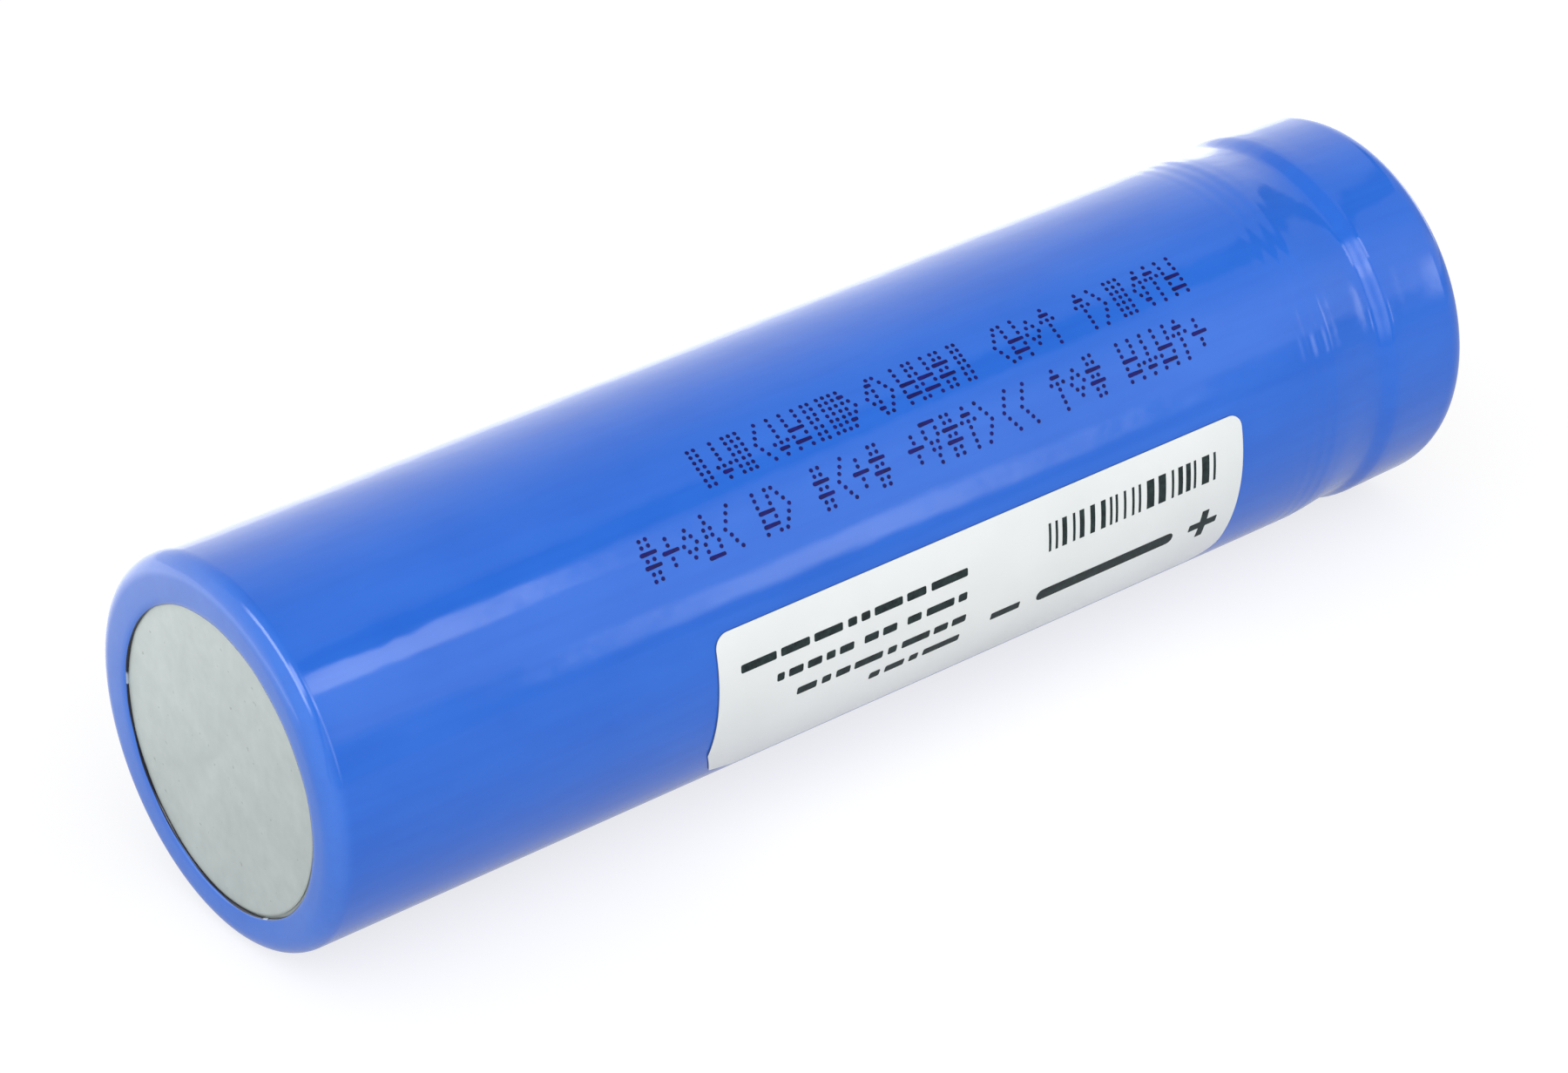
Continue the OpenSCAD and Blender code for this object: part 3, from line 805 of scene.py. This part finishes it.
floorSettings = {
    "size": 6.0,
    "colour": 0.68,
    "lift": 0.74,
    "seen": 0.3,
    "behind": 1.76,  # what gloss sees more of behind the cell and less of before it
    "before": -0.28,
    "change": (0.0, 0.06),  # from the one to the other, across the floor
}


def makeFloor():
    s = floorSettings
    deselectAll()
    bpy.ops.mesh.primitive_plane_add(size=s["size"], location=(0, 0, sleeveLow.z))
    floor = bpy.context.object
    floor.name = "studioFloor"
    material = bpy.data.materials.new("studioFloor")
    material.use_nodes = True
    tree = material.node_tree
    start = Wire(tree)
    tree.nodes.remove(tree.nodes["Principled BSDF"])
    plain = start.node("ShaderNodeBsdfDiffuse", {}, {"Color": (s["colour"],) * 3 + (1,)})
    matt = start.node("ShaderNodeBsdfDiffuse", {}, {"Color": (s["seen"],) * 3 + (1,)})
    behind = start.node("ShaderNodeTexCoord", output=3).part(1).smooth(*s["change"])
    extra = s["before"] + (s["behind"] - s["before"]) * behind
    lift = s["lift"] + extra * start.node("ShaderNodeLightPath", output=3)
    glow = start.node("ShaderNodeEmission", {}, {"Strength": lift})
    seen = start.node("ShaderNodeAddShader", {}, {0: matt, 1: glow})
    rays = [start.node("ShaderNodeLightPath", output=i) for i in (0, 3)]  # camera, glossy
    shown = start.math("MAXIMUM", *rays)
    mixed = start.node("ShaderNodeMixShader", {}, {0: shown, 1: plain, 2: seen})
    tree.links.new(mixed.socket, tree.nodes["Material Output"].inputs["Surface"])
    floor.data.materials.append(material)


makeFloor()

# the studio dome, in turns round the cell: what gloss sees is a bright back, a dark gap and a front panel
worldSettings = {
    "top": 0.72,
    "back": 1.5,
    "backTurns": (-10, -95),
    "front": 0.78,
    "low": 0.5,  # what the front panel gains lower down
    "lowTurns": (20, 45),
    "under": 0.6,  # and what is left under the cell
    "underTurns": (66, 74),
    "gap": 0.3,
    "gapAcross": (-0.634, 0.509, 0.583),  # square to the plane of the dark gap
    "gapWidth": 0.05,
    "edge": 0.03,
    "gapEnds": (-60, -30),
    "leftDark": 0.4,  # how much darker the gloss is between these leans along the cell
    "leftEnds": ((-0.5, -0.3), (0.43, 0.36)),
    # soft glows for the gloss, each: where it starts, is full, stays full and ends, in turn and in lean
    "glows": (
        {"turns": (28.5, 30.5, 39.5, 42), "leans": (0.3, 0.36, 0.475, 0.5), "level": 3.0},
        {"turns": (67, 73, 79, 84), "leans": (0.475, 0.525, 0.54, 0.6), "level": 2.8},
        {"turns": (27, 36, 44, 54), "leans": (0.08, 0.18, 0.26, 0.36), "level": 3.4},
        {"turns": (40, 50, 76, 92), "leans": (0.1, 0.2, 0.26, 0.36), "level": 1.7},
        {"turns": (48, 60, 74, 86), "leans": (0.668, 0.685, 0.7, 0.73), "level": 2.5},
        {"turns": (-26, -8, 38, 54), "leans": (-0.5, -0.42, -0.32, -0.24), "level": 6.5},
        {"turns": (20, 26, 34, 42), "leans": (-0.3, -0.24, -0.1, 0), "level": 5.0},
    ),
    "plain": 0.22,  # soft light from everywhere
    "soft": 1.52,  # and more of it from this side
    "softFrom": (-0.45, -0.6, 0.66),
    "endOn": 0.22,  # and what the near end gets besides
}


def makeWorld():
    s = worldSettings
    world = bpy.data.worlds.new("studio")
    world.use_nodes = True
    bpy.context.scene.world = world
    tree = world.node_tree
    start = Wire(tree)
    toward = start.node("ShaderNodeTexCoord", output=0)

    def along(direction):
        inputs = {0: toward, 1: direction}
        return start.node("ShaderNodeVectorMath", {"operation": "DOT_PRODUCT"}, inputs, output=1)

    turn = start.math("ARCTAN2", 0 - toward.part(1), toward.part(2)) * math.degrees(1)
    backStart, backEnd = s["backTurns"]
    roof = s["top"] + s["back"] * ((turn - backStart) / (backEnd - backStart)).clamp()
    front = s["front"] + s["low"] * turn.smooth(*s["lowTurns"])
    front = front + (s["under"] - s["front"] - s["low"]) * turn.smooth(*s["underTurns"])
    across = along(s["gapAcross"])
    atFront = turn.smooth(*s["gapEnds"])
    onRoof = start.math("MAXIMUM", across.smooth(-s["edge"], s["edge"]), 1 - atFront)
    inGap = 1 - start.math("ABSOLUTE", across).smooth(s["gapWidth"], s["gapWidth"] + s["edge"])
    inGap = inGap * atFront
    gloss = front + (roof - front) * onRoof
    gloss = gloss + (s["gap"] - gloss) * inGap
    low, high = s["leftEnds"]
    aside = toward.part(0).smooth(*low) * toward.part(0).smooth(*high) * atFront
    gloss = gloss * (1 - s["leftDark"] * aside)
    for glow in s["glows"]:
        inside = glow["level"]
        for value, ends in ((turn, glow["turns"]), (toward.part(0), glow["leans"])):
            begin, full, stay, end = ends
            inside = inside * (value.smooth(begin, full) * value.smooth(end, stay))
        gloss = gloss + inside
    soft = s["plain"] + s["soft"] * along(s["softFrom"]).clamp()
    soft = soft + s["endOn"] * (0 - toward.part(0)).clamp()
    level = soft + (gloss - soft) * start.node("ShaderNodeLightPath", output=3)
    level = level + (1 - level) * start.node("ShaderNodeLightPath")
    background = start.node("ShaderNodeBackground", {}, {"Color": (1, 1, 1, 1), "Strength": level})
    tree.links.new(background.socket, tree.nodes["World Output"].inputs["Surface"])


makeWorld()
print("made the camera, the floor and the light")

bpy.context.scene.view_settings.view_transform = "Standard"
